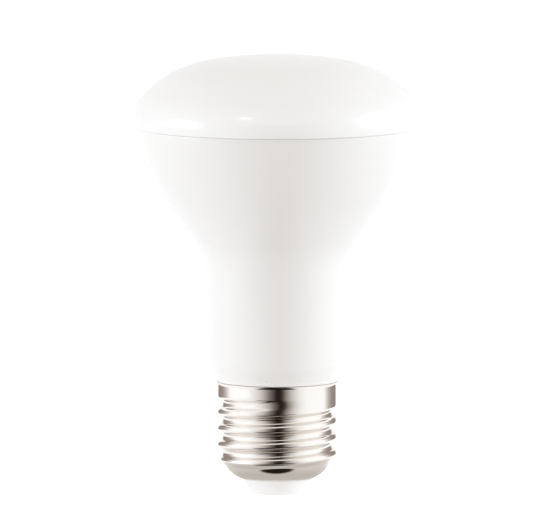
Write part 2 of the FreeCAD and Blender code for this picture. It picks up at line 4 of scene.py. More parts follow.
import bmesh
import bpy
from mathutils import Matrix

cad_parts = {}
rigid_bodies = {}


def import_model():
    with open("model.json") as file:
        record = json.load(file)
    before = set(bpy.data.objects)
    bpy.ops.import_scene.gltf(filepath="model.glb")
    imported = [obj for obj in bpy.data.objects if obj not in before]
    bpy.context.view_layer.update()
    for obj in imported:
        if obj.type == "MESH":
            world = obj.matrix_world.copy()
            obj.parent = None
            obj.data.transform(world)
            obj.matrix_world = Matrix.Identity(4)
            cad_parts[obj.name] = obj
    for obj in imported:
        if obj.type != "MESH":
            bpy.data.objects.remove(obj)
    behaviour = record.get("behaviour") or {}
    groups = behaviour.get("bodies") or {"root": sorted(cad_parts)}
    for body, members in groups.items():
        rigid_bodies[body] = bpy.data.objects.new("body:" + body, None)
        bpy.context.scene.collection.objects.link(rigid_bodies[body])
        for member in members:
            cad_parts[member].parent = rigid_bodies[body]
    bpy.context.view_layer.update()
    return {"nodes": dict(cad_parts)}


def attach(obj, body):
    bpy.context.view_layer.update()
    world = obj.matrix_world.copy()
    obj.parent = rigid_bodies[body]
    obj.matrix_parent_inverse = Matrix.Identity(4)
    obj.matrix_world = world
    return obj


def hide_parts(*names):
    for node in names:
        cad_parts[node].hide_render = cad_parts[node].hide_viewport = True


# Reflector bulb: opal cover, white moulded body, nickel-plated screw cap.
# Profiles below are in millimetres, as (radius, height); meshes are in metres.
mm = 0.001
onAxis = 1e-6  # a radius below this counts as the axis
longestSetBack = 0.49  # of a profile's line, so that the roundings at its two ends never meet

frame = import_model()
print("stage: frame loaded")


# Curves in a profile

def arcPoints(centre, radius, startAngle, endAngle, steps):
    points = []
    for step in range(steps + 1):
        angle = math.radians(startAngle + (endAngle - startAngle) * step / steps)
        points.append((centre[0] + radius * math.cos(angle), centre[1] + radius * math.sin(angle)))
    return points


def roundedCorner(before, corner, after, radius, steps=5):
    toBefore = (before[0] - corner[0], before[1] - corner[1])
    toAfter = (after[0] - corner[0], after[1] - corner[1])
    lengthBefore = math.hypot(*toBefore)
    lengthAfter = math.hypot(*toAfter)
    unitBefore = (toBefore[0] / lengthBefore, toBefore[1] / lengthBefore)
    unitAfter = (toAfter[0] / lengthAfter, toAfter[1] / lengthAfter)
    cosTurn = unitBefore[0] * unitAfter[0] + unitBefore[1] * unitAfter[1]
    halfTurn = math.acos(max(-1, min(1, cosTurn))) / 2
    setBack = min(radius / math.tan(halfTurn), longestSetBack * min(lengthBefore, lengthAfter))
    start = (corner[0] + unitBefore[0] * setBack, corner[1] + unitBefore[1] * setBack)
    end = (corner[0] + unitAfter[0] * setBack, corner[1] + unitAfter[1] * setBack)
    points = []
    for step in range(steps + 1):
        t = step / steps
        points.append((
            (1 - t) ** 2 * start[0] + 2 * t * (1 - t) * corner[0] + t ** 2 * end[0],
            (1 - t) ** 2 * start[1] + 2 * t * (1 - t) * corner[1] + t ** 2 * end[1],
        ))
    return points


# Points along a straight line, without its start
def linePoints(start, end, steps):
    points = []
    for step in range(1, steps + 1):
        t = step / steps
        points.append((start[0] + (end[0] - start[0]) * t, start[1] + (end[1] - start[1]) * t))
    return points


# A skin with a rounded corner in place of its first three points
def roundedStart(before, skin, radius):
    return roundedCorner(before, skin[0], skin[2], radius) + skin[3:]


# A corner is (radius, height) or (radius, height, rounding)
def roundedProfile(corners):
    profile = []
    for index, corner in enumerate(corners):
        if len(corner) == 3 and 0 < index < len(corners) - 1:
            profile += roundedCorner(corners[index - 1], corner, corners[index + 1], corner[2])
        else:
            profile.append(corner[:2])
    return profile


# Meshes

def makeObject(name, data):
    piece = bpy.data.objects.new(name, data)
    bpy.context.scene.collection.objects.link(piece)
    return piece


def makePiece(name, shape):
    mesh = bpy.data.meshes.new(name)
    shape.to_mesh(mesh)
    shape.free()
    return makeObject(name, mesh)


def lathe(name, profile, segments, closed=False):
    shape = bmesh.new()
    rings = []
    for radius, height in profile:
        if radius < onAxis:
            rings.append([shape.verts.new((0, 0, height * mm))])
            continue
        ring = []
        for index in range(segments):
            angle = 2 * math.pi * index / segments
            place = (radius * mm * math.cos(angle), radius * mm * math.sin(angle), height * mm)
            ring.append(shape.verts.new(place))
        rings.append(ring)
    pairs = list(zip(rings, rings[1:]))
    if closed:
        pairs.append((rings[-1], rings[0]))
    for lower, upper in pairs:
        for index in range(segments):
            after = (index + 1) % segments
            corners = [lower[index % len(lower)], lower[after % len(lower)]]
            corners += [upper[after % len(upper)], upper[index % len(upper)]]
            shape.faces.new(list(dict.fromkeys(corners)))  # at a pole a corner comes twice
    bmesh.ops.recalc_face_normals(shape, faces=shape.faces)
    return makePiece(name, shape)


def smoothShade(piece, sharpAngle=32):
    for face in piece.data.polygons:
        face.use_smooth = True
    piece.data.set_sharp_from_angle(angle=math.radians(sharpAngle))


def plainMesh(piece):
    graph = bpy.context.evaluated_depsgraph_get()
    mesh = bpy.data.meshes.new_from_object(piece.evaluated_get(graph))
    mesh.name = piece.name
    piece.modifiers.clear()
    piece.data = mesh


def dress(piece, material, slotName, *nodes):
    piece.data.materials.clear()
    piece.data.materials.append(material)
    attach(piece, "root")
    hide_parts(*nodes)


# Node tree helpers

def addNode(tree, kind, inputs=(), **settings):
    node = tree.nodes.new(kind)
    for key, value in settings.items():
        setattr(node, key, value)
    for key, value in dict(inputs).items():
        feed(tree, value, node.inputs[key])
    return node


def feed(tree, value, socket):
    if isinstance(value, bpy.types.NodeSocket):
        tree.links.new(value, socket)
    else:
        socket.default_value = value


def calculate(tree, operation, *values):
    node = addNode(tree, "ShaderNodeMath", operation=operation)
    for value, socket in zip(values, node.inputs):
        feed(tree, value, socket)
    return node.outputs[0]


def addSocket(tree, name, direction, kind, default=None):
    socket = tree.interface.new_socket(name, in_out=direction, socket_type=kind)
    if default is not None:
        socket.default_value = default


# A Mix node has sockets for each kind of data, and these are its colour ones
mixFirst = 6
mixSecond = 7
mixResult = 2


def mixColors(tree, share, first, second):
    mix = addNode(tree, "ShaderNodeMix", {
        "Factor": share, mixFirst: first, mixSecond: second}, data_type="RGBA")
    return mix.outputs[mixResult]


def lengthOf(tree, vector):
    return addNode(tree, "ShaderNodeVectorMath", {0: vector}, operation="LENGTH").outputs["Value"]


# Rises smoothly from 0 to 1 between two values
def smoothStep(tree, value, start, end):
    node = addNode(tree, "ShaderNodeMapRange", {
        "Value": value, "From Min": start, "From Max": end}, interpolation_type="SMOOTHSTEP")
    return node.outputs["Result"]


def emptyMaterial(name):
    material = bpy.data.materials.new(name)
    material.use_nodes = True
    material.node_tree.nodes.clear()
    return material


# Shader groups: each puts out a colour, a roughness and a height for the bump

def startFinish(name, inputs):
    group = bpy.data.node_groups.new(name, "ShaderNodeTree")
    for label, default in inputs.items():
        kind = "NodeSocketFloat" if isinstance(default, float) else "NodeSocketColor"
        addSocket(group, label, "INPUT", kind, default)
    addSocket(group, "Color", "OUTPUT", "NodeSocketColor")
    addSocket(group, "Roughness", "OUTPUT", "NodeSocketFloat")
    addSocket(group, "Height", "OUTPUT", "NodeSocketFloat")
    source = addNode(group, "NodeGroupInput").outputs
    place = addNode(group, "ShaderNodeTexCoord").outputs["Object"]
    return group, source, place


# Soft clouds shift the roughness and run from the first tint to the second
def endFinish(group, source, place, clouds, first, second, height):
    cloud = addNode(group, "ShaderNodeTexNoise", {"Vector": place, **clouds}).outputs["Fac"]
    centredCloud = calculate(group, "SUBTRACT", cloud, 0.5)
    spread = calculate(group, "MULTIPLY", centredCloud, source["Roughness Spread"])
    addNode(group, "NodeGroupOutput", {
        "Color": mixColors(group, cloud, source[first], source[second]),
        "Roughness": calculate(group, "ADD", source["Roughness"], spread),
        "Height": height,
    })


def buildMouldedSkin():
    group, source, place = startFinish("mouldedSkin", {
        "Grain Scale": 2600.0,
        "Roughness": 0.3,
        "Roughness Spread": 0.06,
        "Light Tint": (1, 1, 1, 1),
        "Dark Tint": (0.9, 0.9, 0.9, 1),
    })
    grain = addNode(group, "ShaderNodeTexNoise", {
        "Vector": place, "Scale": source["Grain Scale"], "Detail": 3.0, "Roughness": 0.55})
    clouds = {"Scale": 42.0, "Detail": 2.0}
    endFinish(group, source, place, clouds, "Dark Tint", "Light Tint", grain.outputs["Fac"])
    return group


# The lines run round the piece, so the noise is stretched in plan
def buildPlatedMetal():
    group, source, place = startFinish("platedMetal", {
        "Clean Color": (0.8, 0.78, 0.74, 1),
        "Dull Color": (0.7, 0.66, 0.6, 1),
        "Roughness": 0.12,
        "Roughness Spread": 0.08,
        "Line Scale": 900.0,
    })
    flattened = addNode(group, "ShaderNodeMapping", {"Vector": place, "Scale": (0.04, 0.04, 1.0)})
    lines = addNode(group, "ShaderNodeTexNoise", {
        "Vector": flattened.outputs["Vector"], "Scale": source["Line Scale"], "Detail": 4.0})
    clouds = {"Scale": 160.0, "Detail": 3.0}
    endFinish(group, source, place, clouds, "Dull Color", "Clean Color", lines.outputs["Fac"])
    return group


mouldedSkin = buildMouldedSkin()
platedMetal = buildPlatedMetal()
grainDepth = 0.00006  # metres
lineBump = {"Strength": 0.05, "Distance": 0.00004}


def finishMaterial(name, group, groupInputs, bumpInputs, principled):
    material = emptyMaterial(name)
    tree = material.node_tree
    skin = addNode(tree, "ShaderNodeGroup", node_tree=group)
    for key, value in groupInputs.items():
        skin.inputs[key].default_value = value
    bump = addNode(tree, "ShaderNodeBump", {"Height": skin.outputs["Height"], **bumpInputs})
    shader = addNode(tree, "ShaderNodeBsdfPrincipled", {
        "Base Color": skin.outputs["Color"],
        "Roughness": skin.outputs["Roughness"],
        "Normal": bump.outputs["Normal"],
    })
    for key, value in principled.items():
        shader.inputs[key].default_value = value
    addNode(tree, "ShaderNodeOutputMaterial", {"Surface": shader.outputs["BSDF"]})
    return material


def plastic(name, light, dark, roughness, grainScale=2600.0, bumpStrength=0.06, **principled):
    groupInputs = {
        "Light Tint": (*light, 1), "Dark Tint": (*dark, 1),
        "Roughness": roughness, "Grain Scale": grainScale,
    }
    grainBump = {"Strength": bumpStrength, "Distance": grainDepth}
    return finishMaterial(name, mouldedSkin, groupInputs, grainBump, principled)


def metal(name, clean, dull, roughness):
    groupInputs = {"Clean Color": (*clean, 1), "Dull Color": (*dull, 1), "Roughness": roughness}
    return finishMaterial(name, platedMetal, groupInputs, lineBump, {"Metallic": 1.0})


# Cover

cover = {
    "rimHeight": 81.2,
    "radius": 31.46,
    "crownRadius": 95.0,
    "domeRadius": 26.15,
    "edgeRadius": 7.5,
    "edgeSlope": 45.0,
    "edgeRise": 2.0,
    "wall": 1.2,
    "spigotRadius": 28.32,
    "spigotWall": 1.2,
    "spigotFoot": 76.7,
    "rounding": 0.35,
    "edgeSteps": 26,
    "domeSteps": 24,
    "crownSteps": 14,
    "segments": 200,
}


# Edge, dome and crown of the cover's skin, moved inward by an inset, from the foot up
def domeArcs(inset, foot):
    s = cover
    slope = math.radians(s["edgeSlope"])
    edge = (s["radius"] - s["edgeRadius"], s["rimHeight"] + s["edgeRise"])
    rise = s["domeRadius"] - s["edgeRadius"]
    dome = (edge[0] - rise * math.sin(slope), edge[1] - rise * math.cos(slope))
    crownRise = s["crownRadius"] - s["domeRadius"]
    crownSlope = math.asin(dome[0] / crownRise)
    crown = (0, dome[1] - crownRise * math.cos(crownSlope))
    edgeRadius = s["edgeRadius"] - inset
    footAngle = -math.degrees(math.asin((edge[1] - foot) / edgeRadius))
    domeEnd = 90 - math.degrees(crownSlope)
    points = arcPoints(edge, edgeRadius, footAngle, 90 - s["edgeSlope"], s["edgeSteps"])
    points += arcPoints(
        dome, s["domeRadius"] - inset, 90 - s["edgeSlope"], domeEnd, s["domeSteps"])[1:]
    points += arcPoints(crown, s["crownRadius"] - inset, domeEnd, 90, s["crownSteps"])[1:]
    points[-1] = (0, points[-1][1])
    return points


def buildCover(material):
    s = cover
    innerRadius = s["spigotRadius"] - s["spigotWall"]
    seat = (s["spigotRadius"], s["rimHeight"])
    inside = domeArcs(s["wall"], s["rimHeight"] + s["wall"])
    profile = [
        *reversed(inside),
        (innerRadius, s["rimHeight"] + s["wall"]),
        (innerRadius, s["spigotFoot"]),
        (s["spigotRadius"], s["spigotFoot"]),
        seat,
        *roundedStart(seat, domeArcs(0, s["rimHeight"]), s["rounding"]),
    ]
    piece = lathe("opal_cover", profile, s["segments"])
    smoothShade(piece)
    dress(piece, material, "opal_cover", "diffuser")


# Body

body = {
    "rimHeight": 81.2,
    "rimRadius": 30.72,
    "rimCentreHeight": 83.17,
    "bowlRadius": 29.77,
    "coneAngle": 35.45,
    "filletRadius": 11.62,
    "neckRadius": 15.45,
    "neckTaper": 1.8,
    "neckFoot": 29.0,
    "wall": 1.5,
    "mouthRadius": 28.42,
    "ledgeRadius": 27.02,
    "ledgeHeight": 75.4,
    "shoulderRadius": 13.8,
    "shoulderHeight": 26.0,
    "lipHeight": 25.25,
    "lipRadius": 13.6,
    "bandRadius": 12.75,
    "bandFoot": 21.6,
    "bossRadius": 11.65,
    "bossFoot": 8.6,
    "boreRadius": 10.15,
    "throatHeight": 26.0,
    "cavityFoot": 30.0,
    "cavityTop": 72.0,
    "rounding": 0.35,
    "neckCorner": 6.0,
    "shoulderRounding": 0.5,
    "lipRounding": 0.08,
    "gateMark": {"radius": 0.22, "height": 26.45, "angle": 260.5},
    "bowlSteps": 40,
    "coneSteps": 8,
    "filletSteps": 20,
    "neckSteps": 12,
    "segments": 200,
}


# Bowl, cone, fillet and neck of the body's skin, moved inward by an inset, from top to foot
def bodySkin(inset, top, foot):
    s = body
    cone = math.radians(s["coneAngle"])
    taper = math.radians(s["neckTaper"])
    bowl = (s["rimRadius"] - s["bowlRadius"], s["rimCentreHeight"])
    bowlEnd = (bowl[0] + s["bowlRadius"] * math.cos(cone), bowl[1] - s["bowlRadius"] * math.sin(cone))
    gap = (bowlEnd[0] - s["neckRadius"], bowlEnd[1] - s["neckFoot"])
    neckRun = (gap[1] * math.sin(cone) - gap[0] * math.cos(cone)) / math.sin(cone - taper)
    run = neckRun - s["filletRadius"] * math.tan((cone - taper) / 2)
    filletEnd = (s["neckRadius"] + run * math.sin(taper), s["neckFoot"] + run * math.cos(taper))
    fillet = (
        filletEnd[0] + s["filletRadius"] * math.cos(taper),
        filletEnd[1] - s["filletRadius"] * math.sin(taper),
    )
    bowlRadius = s["bowlRadius"] - inset
    topAngle = -math.degrees(math.asin((s["rimCentreHeight"] - top) / bowlRadius))
    points = arcPoints(bowl, bowlRadius, topAngle, -s["coneAngle"], s["bowlSteps"])
    turn = arcPoints(
        fillet, s["filletRadius"] + inset, 180 - s["coneAngle"], 180 - s["neckTaper"], s["filletSteps"])
    points += linePoints(points[-1], turn[0], s["coneSteps"]) + turn[1:]
    neckTop = points[-1]
    neckEnd = (neckTop[0] - (neckTop[1] - foot) * math.tan(taper), foot)
    return points + linePoints(neckTop, neckEnd, s["neckSteps"])


# A small pit in the shoulder, where the moulding's gate broke off
def cutGateMark(piece):
    s = body
    mark = s["gateMark"]
    slope = (s["neckRadius"] - s["shoulderRadius"]) / (s["neckFoot"] - s["shoulderHeight"])
    radius = s["shoulderRadius"] + (mark["height"] - s["shoulderHeight"]) * slope
    angle = math.radians(mark["angle"])
    shape = bmesh.new()
    bmesh.ops.create_icosphere(shape, subdivisions=3, radius=mark["radius"] * mm)
    place = (radius * math.cos(angle) * mm, radius * math.sin(angle) * mm, mark["height"] * mm)
    bmesh.ops.translate(shape, verts=shape.verts, vec=place)
    ball = makePiece("gateMark", shape)
    cut = piece.modifiers.new("gateMark", "BOOLEAN")
    cut.object = ball
    cut.solver = "EXACT"
    plainMesh(piece)
    bpy.data.objects.remove(ball)


def buildBody(material):
    s = body
    outside = bodySkin(0, s["rimHeight"], s["neckFoot"])
    inside = bodySkin(s["wall"], s["cavityTop"], s["cavityFoot"])
    profile = [
        *roundedStart((s["mouthRadius"], s["rimHeight"]), outside[:-2], s["rounding"]),
        *roundedProfile([
            outside[-2],
            (*outside[-1], s["neckCorner"]),
            (s["shoulderRadius"], s["shoulderHeight"], s["shoulderRounding"]),
            (s["lipRadius"], s["lipHeight"], s["lipRounding"]),
            (s["bandRadius"], s["lipHeight"]),
        ]),
        (s["bandRadius"], s["bandFoot"] + s["bandRadius"] - s["bossRadius"]),
        (s["bossRadius"], s["bandFoot"]),
        (s["bossRadius"], s["bossFoot"]),
        (s["boreRadius"], s["bossFoot"]),
        (s["boreRadius"], s["throatHeight"]),
        *[point for point in reversed(inside) if point[0] < s["ledgeRadius"]],
        (s["ledgeRadius"], s["ledgeHeight"]),
        (s["mouthRadius"], s["ledgeHeight"]),
        (s["mouthRadius"], s["rimHeight"]),
    ]
    piece = lathe("moulded_body", profile, s["segments"], closed=True)
    cutGateMark(piece)
    smoothShade(piece)
    dress(piece, material, "white_housing", "housing")


# Screw cap shell: a plain sleeve is turned, then a geometry tree rolls the thread into it

shell = {
    "lipHeight": 25.1,
    "lipFlare": 0.35,
    "lipFlareLength": 0.7,
    "lipFlareCurve": 1.25,
    "rootRadius": 12.05,
    "threadDepth": 1.1,
    "pitch": 3.629,
    "crestHeight": 12.9,
    "thickness": 0.3,
    "bowlRadius": 6.2,
    "bowlCentre": (6.07, 9.58),
    "holeRadius": 7.7,
    "fadeInFrom": 6.6,  # run-in of the crests, by their height
    "fadeInTo": 8.4,
    "footFrom": 6.0,  # foot of the thread, by the sheet's height
    "footTo": 7.6,
    "fadeOutFrom": 20.4,  # run-out of the grooves, by their height
    "fadeOutTo": 21.4,
    "bowlSteps": 30,
    "levelStep": 0.115,
    "sharpAngle": 50,
    "segments": 192,
}

# The thread tree's inputs, and the values above that they take
threadInputs = {
    "Pitch": "pitch",
    "Depth": "threadDepth",
    "Crest Height": "crestHeight",
    "Fade In From": "fadeInFrom",
    "Fade In To": "fadeInTo",
    "Foot From": "footFrom",
    "Foot To": "footTo",
    "Fade Out From": "fadeOutFrom",
    "Fade Out To": "fadeOutTo",
}


def sleeveProfile():
    s = shell
    centre = s["bowlCentre"]
    holeAngle = math.degrees(math.acos((s["holeRadius"] - centre[0]) / s["bowlRadius"]))
    rootAngle = math.degrees(math.acos((s["rootRadius"] - centre[0]) / s["bowlRadius"]))
    points = arcPoints(centre, s["bowlRadius"], -holeAngle, -rootAngle, s["bowlSteps"])
    height = points[-1][1]
    count = round((s["lipHeight"] - height) / s["levelStep"])
    step = (s["lipHeight"] - height) / count
    for index in range(1, count + 1):
        level = height + step * index
        lift = max(0, level - s["lipHeight"] + s["lipFlareLength"]) / s["lipFlareLength"]
        points.append((s["rootRadius"] + s["lipFlare"] * lift ** s["lipFlareCurve"], level))
    return points


# Depth below the crest of a rolled thread made of equal crest and root arcs
def rolledDepth(tree, offset, pitch, depth):
    quarter = calculate(tree, "DIVIDE", pitch, 4.0)
    halfPitch = calculate(tree, "DIVIDE", pitch, 2.0)
    depthSquare = calculate(tree, "POWER", depth, 2.0)
    squares = calculate(tree, "ADD", depthSquare, calculate(tree, "POWER", halfPitch, 2.0))
    arcRadius = calculate(tree, "DIVIDE", squares, calculate(tree, "MULTIPLY", depth, 4.0))
    away = calculate(tree, "ABSOLUTE", offset)
    nearCrest = calculate(tree, "LESS_THAN", away, quarter)
    nearRoot = calculate(tree, "SUBTRACT", 1.0, nearCrest)
    reach = calculate(tree, "MINIMUM", away, calculate(tree, "SUBTRACT", halfPitch, away))
    radiusSquare = calculate(tree, "POWER", arcRadius, 2.0)
    chord = calculate(tree, "SUBTRACT", radiusSquare, calculate(tree, "POWER", reach, 2.0))
    sagitta = calculate(tree, "SUBTRACT", arcRadius, calculate(tree, "SQRT", chord))
    crestPart = calculate(tree, "MULTIPLY", nearCrest, sagitta)
    rootPart = calculate(tree, "MULTIPLY", nearRoot, calculate(tree, "SUBTRACT", depth, sagitta))
    return calculate(tree, "ADD", crestPart, rootPart)


# Height of a numbered crest or groove at an angle, given as a share of a turn
def turnHeight(tree, number, turn, pitch, firstHeight):
    lift = calculate(tree, "MULTIPLY", calculate(tree, "ADD", number, turn), pitch)
    return calculate(tree, "ADD", lift, firstHeight)


def buildThreadRoller():
    tree = bpy.data.node_groups.new("rollThread", "GeometryNodeTree")
    tree.is_modifier = True
    addSocket(tree, "Geometry", "INPUT", "NodeSocketGeometry")
    for name in threadInputs:
        addSocket(tree, name, "INPUT", "NodeSocketFloat", 1.0)
    addSocket(tree, "Material", "INPUT", "NodeSocketMaterial")
    addSocket(tree, "Geometry", "OUTPUT", "NodeSocketGeometry")
    source = addNode(tree, "NodeGroupInput").outputs
    place = addNode(tree, "GeometryNodeInputPosition").outputs[0]
    pitch = source["Pitch"]
    depth = source["Depth"]
    firstCrest = source["Crest Height"]
    axes = addNode(tree, "ShaderNodeSeparateXYZ", {"Vector": place}).outputs
    angle = calculate(tree, "ARCTAN2", axes["Y"], axes["X"])
    turn = calculate(tree, "DIVIDE", angle, 2 * math.pi)
    climb = calculate(tree, "DIVIDE", calculate(tree, "SUBTRACT", axes["Z"], firstCrest), pitch)
    along = calculate(tree, "SUBTRACT", climb, turn)
    crestNumber = calculate(tree, "FLOOR", calculate(tree, "ADD", along, 0.5))
    grooveNumber = calculate(tree, "ADD", calculate(tree, "FLOOR", along), 0.5)
    offset = calculate(tree, "MULTIPLY", calculate(tree, "SUBTRACT", along, crestNumber), pitch)
    crestHeight = turnHeight(tree, crestNumber, turn, pitch, firstCrest)
    grooveHeight = turnHeight(tree, grooveNumber, turn, pitch, firstCrest)
    below = rolledDepth(tree, offset, pitch, depth)
    ridge = calculate(tree, "SUBTRACT", 1.0, calculate(tree, "DIVIDE", below, depth))
    fadeIn = smoothStep(tree, crestHeight, source["Fade In From"], source["Fade In To"])
    foot = smoothStep(tree, axes["Z"], source["Foot From"], source["Foot To"])
    fadeOut = smoothStep(tree, grooveHeight, source["Fade Out From"], source["Fade Out To"])
    ridge = calculate(tree, "MULTIPLY", calculate(tree, "MULTIPLY", ridge, fadeIn), foot)
    offRidge = calculate(tree, "SUBTRACT", 1.0, ridge)
    hollow = calculate(tree, "MULTIPLY", offRidge, calculate(tree, "SUBTRACT", 1.0, fadeOut))
    push = calculate(tree, "MULTIPLY", calculate(tree, "SUBTRACT", 1.0, hollow), depth)
    outward = addNode(tree, "ShaderNodeCombineXYZ", {"X": axes["X"], "Y": axes["Y"]}).outputs[0]
    direction = addNode(tree, "ShaderNodeVectorMath", {0: outward}, operation="NORMALIZE").outputs[0]
    move = addNode(tree, "ShaderNodeVectorMath", {
        0: direction, "Scale": push}, operation="SCALE").outputs[0]
    moved = addNode(tree, "GeometryNodeSetPosition", {"Geometry": source["Geometry"], "Offset": move})
    whole = addNode(tree, "GeometryNodeRealizeInstances", {"Geometry": moved.outputs[0]})
    painted = addNode(tree, "GeometryNodeSetMaterial", {
        "Geometry": whole.outputs[0], "Material": source["Material"]})
    addNode(tree, "NodeGroupOutput", {"Geometry": painted.outputs[0]})
    return tree


def setTreeInputs(modifier, values):
    for item in modifier.node_group.interface.items_tree:
        if item.item_type == "SOCKET" and item.in_out == "INPUT" and item.name in values:
            modifier[item.identifier] = values[item.name]


def buildShell(material):
    s = shell
    piece = lathe("screw_cap_shell", sleeveProfile(), s["segments"])
    piece.data.flip_normals()  # an open sleeve comes out facing its axis
    roller = piece.modifiers.new("rollThread", "NODES")
    roller.node_group = buildThreadRoller()
    setTreeInputs(roller, {name: s[value] * mm for name, value in threadInputs.items()})
    setTreeInputs(roller, {"Material": material})
    wall = piece.modifiers.new("sheet", "SOLIDIFY")
    wall.thickness = s["thickness"] * mm
    wall.offset = -1  # the sheet thickens inwards
    wall.use_even_offset = True
    plainMesh(piece)
    smoothShade(piece, s["sharpAngle"])
    dress(piece, material, "nickel_plate", "screw_shell")


# Insulator and centre contact

tip = {
    "plugRadius": 7.62,
    "footRadius": 5.5,
    "footHeight": 0.3,
    "footRounding": 0.8,
    "skirtHeight": 3.6,
    "skirtRounding": 0.25,
    "seatHeight": 3.99,
    "seatRounding": 0.05,
    "flangeRadius": 8.9,
    "flangeHeight": 4.47,
    "flangeFootRounding": 0.1,
    "topHeight": 6.0,
    "topRounding": 0.2,
    "recessRadius": 3.05,
    "recessHeight": 0.9,
    "recessRounding": 0.05,
    "recessMouthRounding": 0.08,
    "holeRadius": 2.0,
    "headRadius": 3.0,
    "headRounding": 0.4,
    "headBackRounding": 0.1,
    "shankRadius": 1.95,
    "shankTop": 6.05,
    "shankRounding": 0.15,
    "boreRadius": 0.7,
    "boreDepth": 4.4,
    "sharpAngle": 40,
    "segments": 96,
}


def buildInsulator(material):
    s = tip
    profile = roundedProfile([
        (s["holeRadius"], s["recessHeight"]),
        (s["recessRadius"], s["recessHeight"], s["recessRounding"]),
        (s["recessRadius"], s["footHeight"], s["recessMouthRounding"]),
        (s["footRadius"], s["footHeight"], s["footRounding"]),
        (s["plugRadius"], s["skirtHeight"], s["skirtRounding"]),
        (s["plugRadius"], s["seatHeight"], s["seatRounding"]),
        (s["flangeRadius"], s["flangeHeight"], s["flangeFootRounding"]),
        (s["flangeRadius"], s["topHeight"], s["topRounding"]),
        (s["holeRadius"], s["topHeight"]),
    ])
    piece = lathe("cap_insulator", profile, s["segments"], closed=True)
    smoothShade(piece, s["sharpAngle"])
    dress(piece, material, "white_insulator", "insulator")


def buildContact(material):
    s = tip
    profile = roundedProfile([
        (0, 0),
        (s["headRadius"], 0, s["headRounding"]),
        (s["headRadius"], s["recessHeight"], s["headBackRounding"]),
        (s["shankRadius"], s["recessHeight"]),
        (s["shankRadius"], s["shankTop"], s["shankRounding"]),
        (s["boreRadius"], s["shankTop"]),
        (s["boreRadius"], s["shankTop"] - s["boreDepth"]),
        (0, s["shankTop"] - s["boreDepth"]),
    ])
    piece = lathe("centre_contact_pin", profile, s["segments"])
    smoothShade(piece, s["sharpAngle"])
    dress(piece, material, "contact_metal", "contact_pin")


# Pieces inside keep their CAD solids and get their finishes

def dressInside():
    tinned = metal("tinned_wire", (0.80, 0.78, 0.74), (0.66, 0.64, 0.60), 0.3)
    black = plastic("black_moulding", (0.035, 0.035, 0.037), (0.02, 0.02, 0.021), 0.45)
    whitePart = plastic("white_part", (0.84, 0.84, 0.82), (0.78, 0.78, 0.76), 0.4)
    finishes = {
        "heat_sink": metal("cast_aluminium", (0.66, 0.66, 0.67), (0.52, 0.52, 0.53), 0.42),
        "led_board": plastic("white_solder_mask", (0.86, 0.86, 0.84), (0.82, 0.82, 0.80), 0.3),
        "led_packages": whitePart,
        "led_phosphors": plastic("phosphor_gel", (0.92, 0.74, 0.16), (0.86, 0.66, 0.12), 0.25),
        "board_screws": metal("zinc_plate", (0.70, 0.70, 0.72), (0.56, 0.56, 0.58), 0.28),
        "board_connector": whitePart,
        "driver_board": plastic("green_solder_mask", (0.03, 0.16, 0.06), (0.02, 0.12, 0.045), 0.3),
        "smoothing_capacitor": plastic("capacitor_sleeve", (0.02, 0.03, 0.07), (0.015, 0.02, 0.05), 0.3),
        "film_capacitor": plastic("film_case", (0.45, 0.05, 0.03), (0.38, 0.04, 0.025), 0.28),
        "choke_core": plastic("ferrite", (0.06, 0.06, 0.062), (0.035, 0.035, 0.036), 0.55),
        "choke_winding": metal("enamelled_copper", (0.78, 0.36, 0.18), (0.62, 0.26, 0.12), 0.26),
        "fusible_resistor": plastic("resistor_coat", (0.20, 0.32, 0.38), (0.15, 0.26, 0.32), 0.5),
        "driver_chip": black,
        "bridge_rectifier": black,
        "chip_resistors": black,
        "live_wire": plastic("brown_insulation", (0.12, 0.05, 0.025), (0.09, 0.04, 0.02), 0.4),
        "neutral_wire": tinned,
        "led_lead_positive": plastic("red_insulation", (0.42, 0.02, 0.015), (0.35, 0.015, 0.01), 0.4),
        "led_lead_negative": plastic("black_insulation", (0.03, 0.03, 0.03), (0.02, 0.02, 0.02), 0.4),
    }
    for node, material in finishes.items():
        mesh = frame["nodes"][node].data
        mesh.materials.clear()
        mesh.materials.append(material)


# Studio: a bright tent that is a little brighter in front, a pale floor and six lamps.
# The floor glows a little under the bulb, close round the cap and in a strip at each side, over
# distances in millimetres.

studio = {
    "tentLight": (0.74, 0.71, 0.68, 1),
    "frontLight": (0.81, 0.745, 0.726, 1),
    "frontFrom": 0.68,  # cosine of the angle from the front, as is the next
    "frontTo": 0.94,
    "floorRadius": 6.0,  # metres
    "floorSegments": 96,
    "floorColor": (0.90, 0.90, 0.90, 1),
    "tableGlow": 0.18,
    "tableFrom": 30.0,
    "tableTo": 80.0,
    "nearGlow": 0.11,
    "nearFrom": 18.0,
    "nearTo": 26.0,
    "sideGlow": 0.04,
    "sideFrom": 15.0,
    "sideTo": 60.0,
    "sideFade": 110.0,
    "sideEnd": 180.0,
    "floorLift": 0.42,
}

lampColor = (0.82, 0.92, 1.0)

